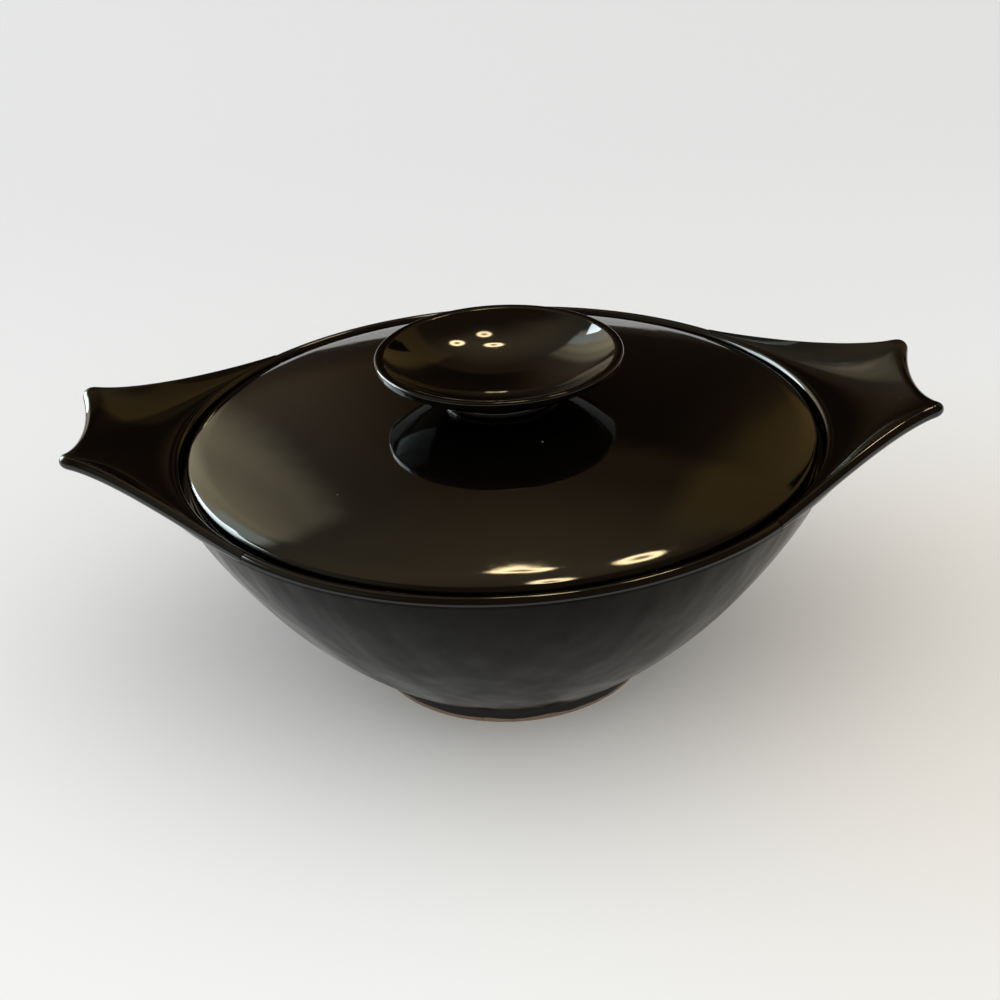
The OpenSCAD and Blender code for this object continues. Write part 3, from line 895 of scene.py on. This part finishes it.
# The shapes in the room that the glaze mirrors, each painted over the ones before it: name, from and to in
# azimuth, from and to in elevation, softness of the sides and of top and bottom, colour, strength. Angles
# are in degrees.
ROOM = (
    ("low part of the room", (-400, 400), (-95, 8), (1, 8), "40372e", 1.0),
    ("far end of the floor", (-400, 400), (-95, 1.1), (1, 0.5), "e4e2dd", 1.0),
    ("high part of the room", (-400, 400), (8, 140), (1, 8), "5f4a32", 1.0),
    ("pale side", (-130, -15), (9, 60), (30, 18), "8a8373", 1.0),
    ("warm side", (20, 70), (10, 48), (4, 6), "866c3f", 1.3),
    ("lit ceiling", (-60, 35), (50, 73), (30, 22), "b5a27c", 1.0),
    ("doorway", (-5, 21), (3.5, 35), (14, 4), "2a2017", 1.0),
    ("dark post", (33, 42), (14, 34), (2, 2), "160f0b", 1.0),
    ("wall by the window", (-38, -17), (7, 43), (5, 3), "fff0c8", 0.72),
    ("wall by the window, brighter", (-38, -23), (9, 43), (6, 5), "fff0c8", 1.4),
    ("wall by the window, brightest", (-42, -31), (11, 43), (5, 3), "fffbe6", 1.8),
    ("wall by the window, top", (-37.5, -30), (33, 44), (3, 3), "e6efe4", 2.2),
)
NO_LIGHT = (0, 0, 0, 1)

# The soft light on matt surfaces: its colour, how strong it is from the front and from the back, and how
# far round to the front and the back it goes on changing
SOFT_LIGHT = "ffffff"
SOFT_FROM_FRONT = 1.62
SOFT_FROM_BACK = 0.38
SOFT_TURN = 0.7

# Each pane: name, azimuth, elevation, width and height as angles, radiance
WINDOW_PANES = (
    ("window, left pane", -80, 20, 10, 38, 1),
    ("window, middle pane", -65, 20, 17, 38, 11),
    ("window, right pane", -47.2, 20, 15.6, 38, 14),
)
WINDOW_COLOUR = "e0f2f6"

# Each lamp: name, azimuth, elevation, width and height as angles
CEILING_LAMPS = (
    ("lamp A", 17, 71, 6.5, 6.5),
    ("lamp B", 3.8, 59.8, 7.2, 4.8),
    ("lamp C", 28.3, 58.2, 6.6, 6.8),
)
LAMP_COLOUR = "ffe3b0"
LAMP_RADIANCE = 26
LAMP_DISTANCE = 3.0

FLOOR_HALF = 60.0
SENSOR_MM = 36
NEAREST_SEEN = 0.01
FURTHEST_SEEN = 200


def direction(azimuth, elevation):
    """A unit vector. Azimuth is in degrees to the right of +Y, elevation in degrees above the floor."""
    a, e = math.radians(azimuth), math.radians(elevation)
    return Vector((math.sin(a) * math.cos(e), math.cos(a) * math.cos(e), math.sin(e)))


def across(degrees):
    """The width of something that takes up this angle from the dish, at the lamps' distance."""
    return 2 * LAMP_DISTANCE * math.tan(math.radians(degrees / 2))


def add_lamp(name, azimuth, elevation, wide, high, radiance, colour, ring=False):
    """An area lamp that faces the dish and shows only in its mirror images. Its width and height are
    angles seen from the dish."""
    lamp = bpy.data.lights.new(name, "AREA")
    lamp.shape = "ELLIPSE" if ring else "RECTANGLE"
    lamp.size = across(wide)
    lamp.size_y = across(high)
    area = lamp.size * lamp.size_y * (math.pi / 4 if ring else 1)
    lamp.energy = math.pi * area * radiance
    lamp.color = linear(colour)[:3]
    holder = bpy.data.objects.new(name, lamp)
    way = direction(azimuth, elevation)
    holder.location = way * LAMP_DISTANCE + Vector((0, 0, RIM_Z))
    holder.rotation_euler = way.to_track_quat("Z", "Y").to_euler()
    holder.visible_camera = False
    holder.visible_diffuse = False
    if ring:
        shade_as_ring(lamp)
    bpy.context.scene.collection.objects.link(holder)


def shade_as_ring(lamp):
    """Makes a round lamp look like a lampshade seen from below: bright with a dim middle and a soft edge.

    Distances are shares of the lamp's width, from its middle.
    """
    middle = (0.5, 0.5, 0)
    lamp.use_nodes = True
    tree = lamp.node_tree
    tree.nodes.clear()
    place = add_node(tree, "ShaderNodeNewGeometry").outputs["Parametric"]
    out = add_node(tree, "ShaderNodeVectorMath", {1: middle}, {0: place}, operation="DISTANCE")
    inner = add_node(tree, "ShaderNodeMapRange",
                     {"From Min": 0.08, "From Max": 0.28, "To Min": 0.1, "To Max": 1},
                     {"Value": out.outputs["Value"]}, interpolation_type="SMOOTHSTEP")
    outer = add_node(tree, "ShaderNodeMapRange",
                     {"From Min": 0.34, "From Max": 0.5, "To Min": 1, "To Max": 0.08},
                     {"Value": out.outputs["Value"]}, interpolation_type="SMOOTHSTEP")
    level = add_node(tree, "ShaderNodeMath", links={0: inner.outputs[0], 1: outer.outputs[0]},
                     operation="MULTIPLY")
    glow = add_node(tree, "ShaderNodeEmission", {"Color": (1, 1, 1, 1)}, {"Strength": level.outputs[0]})
    add_node(tree, "ShaderNodeOutputLight", links={"Surface": glow.outputs[0]})


def paint_shape(tree, place, under, shape):
    """Paints one soft-edged shape of the room over what lies under it."""
    name, sides, heights, soft, colour, strength = shape
    half = [math.radians((end - start) / 2) for start, end in (sides, heights)]
    middle = [math.radians((start + end) / 2) for start, end in (sides, heights)]
    edge = [math.radians(degrees / 2) for degrees in soft]
    off = add_node(tree, "ShaderNodeVectorMath", {1: (*middle, 0)}, {0: place}, operation="SUBTRACT")
    away = add_node(tree, "ShaderNodeVectorMath", links={0: off.outputs[0]}, operation="ABSOLUTE")
    inside = add_node(tree, "ShaderNodeMapRange",
                      {RANGE_FROM_MIN: (half[0] + edge[0], half[1] + edge[1], 1),
                       RANGE_FROM_MAX: (half[0] - edge[0], half[1] - edge[1], 0),
                       RANGE_TO_MIN: (0, 0, 0), RANGE_TO_MAX: (1, 1, 1)},
                      {RANGED: away.outputs[0]}, data_type="FLOAT_VECTOR", interpolation_type="SMOOTHSTEP")
    parts = add_node(tree, "ShaderNodeSeparateXYZ", links={"Vector": inside.outputs[RANGED_VECTOR]})
    cover = add_node(tree, "ShaderNodeMath", links={0: parts.outputs["X"], 1: parts.outputs["Y"]},
                     operation="MULTIPLY")
    paint = [c * strength for c in linear(colour)[:3]] + [1]
    links = {FACTOR: cover.outputs[0]}
    if under is not None:
        links[COLOUR_A] = under
    painted = add_node(tree, "ShaderNodeMix", {COLOUR_A: NO_LIGHT, COLOUR_B: paint}, links,
                       data_type="RGBA", label=name)
    return painted.outputs[MIXED_COLOUR]


def room_light(tree, way):
    """The room that the glaze mirrors: dim and warm, with a lit ceiling and a few large plain shapes."""
    azimuth = add_node(tree, "ShaderNodeMath", links={0: way.outputs["X"], 1: way.outputs["Y"]},
                       operation="ARCTAN2")
    elevation = add_node(tree, "ShaderNodeMath", links={0: way.outputs["Z"]}, operation="ARCSINE")
    place = add_node(tree, "ShaderNodeCombineXYZ", links={"X": azimuth.outputs[0], "Y": elevation.outputs[0]})
    light = None
    for shape in ROOM:
        light = paint_shape(tree, place.outputs[0], light, shape)
    return light


def soft_light(tree, way):
    """The plain soft light that falls on matt surfaces, stronger from the front than from the back."""
    front = add_node(tree, "ShaderNodeMapRange",
                     {"From Min": -SOFT_TURN, "From Max": SOFT_TURN,
                      "To Min": SOFT_FROM_FRONT, "To Max": SOFT_FROM_BACK}, {"Value": way.outputs["Y"]})
    soft = add_node(tree, "ShaderNodeVectorMath", {0: linear(SOFT_LIGHT)[:3]}, {"Scale": front.outputs[0]},
                    operation="SCALE")
    return soft.outputs[0]


class CASSEROLE_OT_bowl(bpy.types.Operator):
    """Build the glazed bowl: floor, wall, rim and the ledge that carries the lid"""

    bl_idname = "casserole.bowl"
    bl_label = "Bowl"

    # How long the wall's waves are, and how far below the ledge they end
    WAVE_LENGTH = 22 * MM
    WAVES_END = 6 * MM
    # Faces below the rim that look outward by more than this share wear the wall's own glaze
    LOOKS_OUT = 0.2
    WALL_SLOT = 1

    def execute(self, context):
        scene = context.scene
        sizes = scene.casserole_bowl
        points, faces = turned(BowlForm(sizes).profile(), scene.casserole_studio.turns)
        points = waves(points, sizes.unevenness, self.WAVE_LENGTH, BOWL_LOW_Z, SEAT_Z - self.WAVES_END)
        piece = make_object("bowl_glazed", points, faces, "dish", glaze(scene))
        piece.data.materials.append(wall_glaze(scene.casserole_finish))
        rim_side_z = RIM_Z - sizes.rim_wall / 2
        for face in piece.data.polygons:
            outward = face.normal.xy.dot(face.center.xy.normalized())
            if outward > self.LOOKS_OUT and face.center.z < rim_side_z:
                face.material_index = self.WALL_SLOT
        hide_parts("bowl")
        return {"FINISHED"}


class CASSEROLE_OT_foot_ring(bpy.types.Operator):
    """Build the foot ring, bare where it stands on the table"""

    bl_idname = "casserole.foot_ring"
    bl_label = "Foot ring"

    def execute(self, context):
        scene = context.scene
        sizes = scene.casserole_bowl
        points, faces = turned(foot_profile(sizes), scene.casserole_studio.turns)
        material = foot_clay(scene.casserole_finish, sizes.glaze_line)
        piece = make_object("foot_ring_bare", points, faces, "dish", material)
        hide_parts("foot_ring")
        return {"FINISHED"}


class CASSEROLE_OT_handles(bpy.types.Operator):
    """Build the two fishtail handles, which grow out of the rim"""

    bl_idname = "casserole.handles"
    bl_label = "Handles"

    def execute(self, context):
        scene = context.scene
        form = HandleForm(scene.casserole_handle, BowlForm(scene.casserole_bowl))
        points, faces = form.skin()
        for name, mirrored in (("handle_right", False), ("handle_left", True)):
            here = [Vector((-p.x, p.y, p.z)) for p in points] if mirrored else points
            around = [tuple(reversed(f)) for f in faces] if mirrored else faces
            piece = make_object(name + "_glazed", here, around, "dish", glaze(scene))
            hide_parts(name)
        return {"FINISHED"}


class CASSEROLE_OT_lid(bpy.types.Operator):
    """Build the domed lid, the ring under it and its dished knob on a short neck"""

    bl_idname = "casserole.lid"
    bl_label = "Lid and knob"

    def execute(self, context):
        scene = context.scene
        form = LidForm(scene.casserole_lid)
        profiles = {"lid_dome": form.dome(), "lid_flange": form.ring(),
                    "knob_neck": form.neck(), "knob_dish": form.knob()}
        for name, profile in profiles.items():
            points, faces = turned(profile, scene.casserole_studio.turns)
            if name.startswith("knob"):
                points = [(x + form.sizes.knob_offset, y, z) for x, y, z in points]
            piece = make_object(name + "_glazed", points, faces, "lid", glaze(scene))
            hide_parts(name)
        return {"FINISHED"}


class CASSEROLE_OT_stage(bpy.types.Operator):
    """Build the floor, the camera and the soft studio light"""

    bl_idname = "casserole.stage"
    bl_label = "Studio"

    def execute(self, context):
        scene = context.scene
        self.add_floor(scene)
        self.add_camera(scene, scene.casserole_studio)
        self.add_world(scene)
        self.add_lamps()
        scene.view_settings.view_transform = "Standard"
        return {"FINISHED"}

    def add_floor(self, scene):
        """A square floor that reaches so far that its end meets the room's low pale band."""
        corners = [(x * FLOOR_HALF, y * FLOOR_HALF, 0) for x, y in ((-1, -1), (1, -1), (1, 1), (-1, 1))]
        mesh = bpy.data.meshes.new("floor")
        mesh.from_pydata(corners, [], [(0, 1, 2, 3)])
        mesh.materials.append(floor_paint(scene.casserole_finish))
        floor = bpy.data.objects.new("floor", mesh)
        scene.collection.objects.link(floor)

    def add_camera(self, scene, studio):
        """The photograph's own viewing angle."""
        camera = bpy.data.cameras.new("camera")
        camera.lens = studio.lens
        camera.sensor_width = SENSOR_MM
        camera.clip_start = NEAREST_SEEN
        camera.clip_end = FURTHEST_SEEN
        holder = bpy.data.objects.new("camera", camera)
        back = Vector((math.sin(studio.azimuth) * math.cos(studio.elevation),
                       -math.cos(studio.azimuth) * math.cos(studio.elevation),
                       math.sin(studio.elevation)))
        turn = back.to_track_quat("Z", "Y").to_matrix().to_4x4() @ Matrix.Rotation(studio.roll, 4, "Z")
        holder.matrix_world = Matrix.Translation(Vector(studio.aim) + back * studio.distance) @ turn
        scene.collection.objects.link(holder)
        scene.camera = holder

    def add_world(self, scene):
        """The room for the glaze to mirror, and plain soft light for everything matt."""
        world = bpy.data.worlds.new("dim warm room")
        scene.world = world
        world.use_nodes = True
        tree = world.node_tree
        tree.nodes.clear()
        generated = add_node(tree, "ShaderNodeTexCoord").outputs["Generated"]
        way = add_node(tree, "ShaderNodeSeparateXYZ", links={"Vector": generated})
        matt = add_node(tree, "ShaderNodeLightPath").outputs["Is Diffuse Ray"]
        room = room_light(tree, way)
        soft = soft_light(tree, way)
        light = add_node(tree, "ShaderNodeMix", links={FACTOR: matt, COLOUR_A: room, COLOUR_B: soft},
                         data_type="RGBA")
        background = add_node(tree, "ShaderNodeBackground", {"Strength": 1.0},
                              {"Color": light.outputs[MIXED_COLOUR]})
        add_node(tree, "ShaderNodeOutputWorld", links={"Surface": background.outputs[0]})

    def add_lamps(self):
        """The window's panes and the ceiling lamps, which show only in the glaze's mirror images."""
        for pane in WINDOW_PANES:
            add_lamp(*pane, WINDOW_COLOUR)
        for lamp in CEILING_LAMPS:
            add_lamp(*lamp, LAMP_RADIANCE, LAMP_COLOUR, ring=True)


class CASSEROLE_PT_panel(bpy.types.Panel):
    """Lists the pieces and their sizes"""

    bl_idname = "CASSEROLE_PT_panel"
    bl_label = "Covered casserole"
    bl_space_type = "VIEW_3D"
    bl_region_type = "UI"
    bl_category = "Casserole"

    def draw(self, context):
        layout = self.layout
        for operator in OPERATORS:
            layout.operator(operator.bl_idname)
        for key in PROPERTY_GROUPS:
            group = getattr(context.scene, key)
            box = layout.box()
            for prop in group.bl_rna.properties:
                if prop.identifier not in ("rna_type", "name"):
                    box.prop(group, prop.identifier)


OPERATORS = (
    CASSEROLE_OT_bowl,
    CASSEROLE_OT_foot_ring,
    CASSEROLE_OT_handles,
    CASSEROLE_OT_lid,
    CASSEROLE_OT_stage,
)
PROPERTY_GROUPS = {
    "casserole_bowl": BowlSizes,
    "casserole_handle": HandleSizes,
    "casserole_lid": LidSizes,
    "casserole_finish": Finish,
    "casserole_studio": Studio,
}
CLASSES = (*PROPERTY_GROUPS.values(), *OPERATORS, CASSEROLE_PT_panel)


def register():
    """Makes the sizes, the operators and the panel known to Blender."""
    for cls in CLASSES:
        bpy.utils.register_class(cls)
    for key, group in PROPERTY_GROUPS.items():
        setattr(bpy.types.Scene, key, PointerProperty(type=group))


def unregister():
    """Takes them out again, in the opposite order."""
    for key in PROPERTY_GROUPS:
        delattr(bpy.types.Scene, key)
    for cls in reversed(CLASSES):
        bpy.utils.unregister_class(cls)


def main():
    """Builds every piece and the stage."""
    register()
    bpy.ops.casserole.bowl()
    bpy.ops.casserole.foot_ring()
    bpy.ops.casserole.handles()
    bpy.ops.casserole.lid()
    bpy.ops.casserole.stage()


if __name__ == "__main__":
    main()
